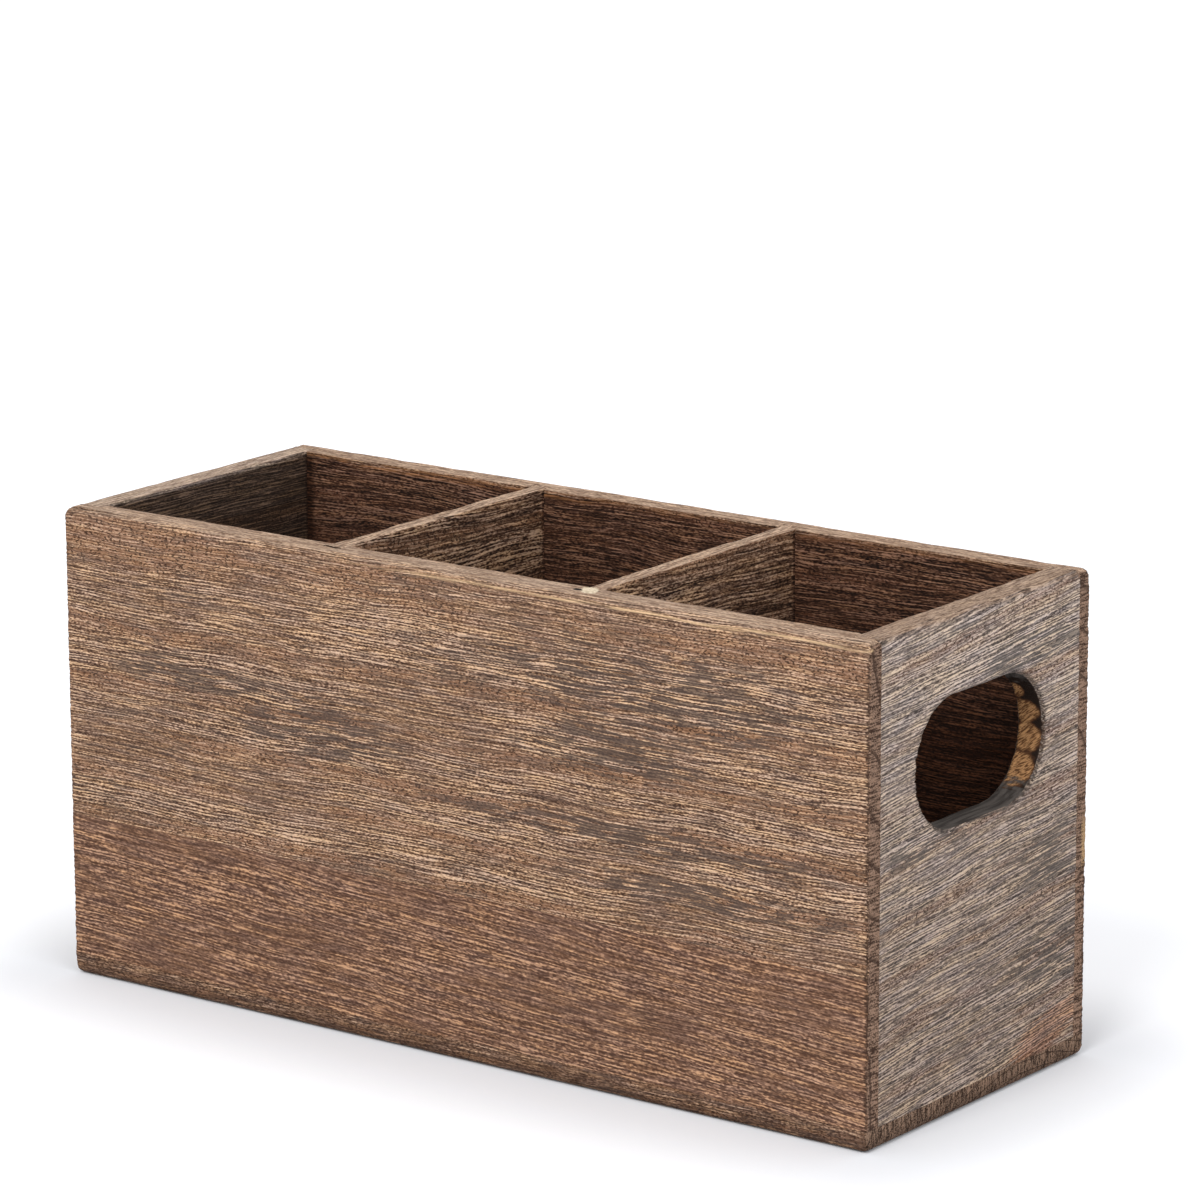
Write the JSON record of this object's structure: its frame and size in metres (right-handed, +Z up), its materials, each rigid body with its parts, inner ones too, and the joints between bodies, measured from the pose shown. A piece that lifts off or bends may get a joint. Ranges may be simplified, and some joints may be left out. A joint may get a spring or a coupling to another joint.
{
  "type": "cutlery caddy",
  "caption": "Open wooden tabletop caddy with compartments between dividers and an obround hand hole in each end panel.",
  "frame": {"origin": "middle of the underside, on the surface that the caddy stands on", "axes": "+X along the length towards the right hand end, +Y from the front board to the back board, +Z up"},
  "size_m": [0.228, 0.088, 0.114],
  "materials": {
    "front_upper_wood": "matte",
    "front_lower_wood": "matte",
    "back_upper_wood": "matte",
    "back_lower_wood": "matte",
    "end_panel_wood": "matte",
    "divider_wood": "matte",
    "bottom_wood": "matte",
    "brad_steel": "satin"
  },
  "bodies": {
    "root": {"front_upper_board": "front_upper_wood", "front_lower_board": "front_lower_wood", "back_upper_board": "back_upper_wood", "back_lower_board": "back_lower_wood", "left_end_panel": "end_panel_wood", "right_end_panel": "end_panel_wood", "left_divider": "divider_wood", "right_divider": "divider_wood", "bottom_board": "bottom_wood", "bottom_brads": "brad_steel"}
  },
  "joints": []
}
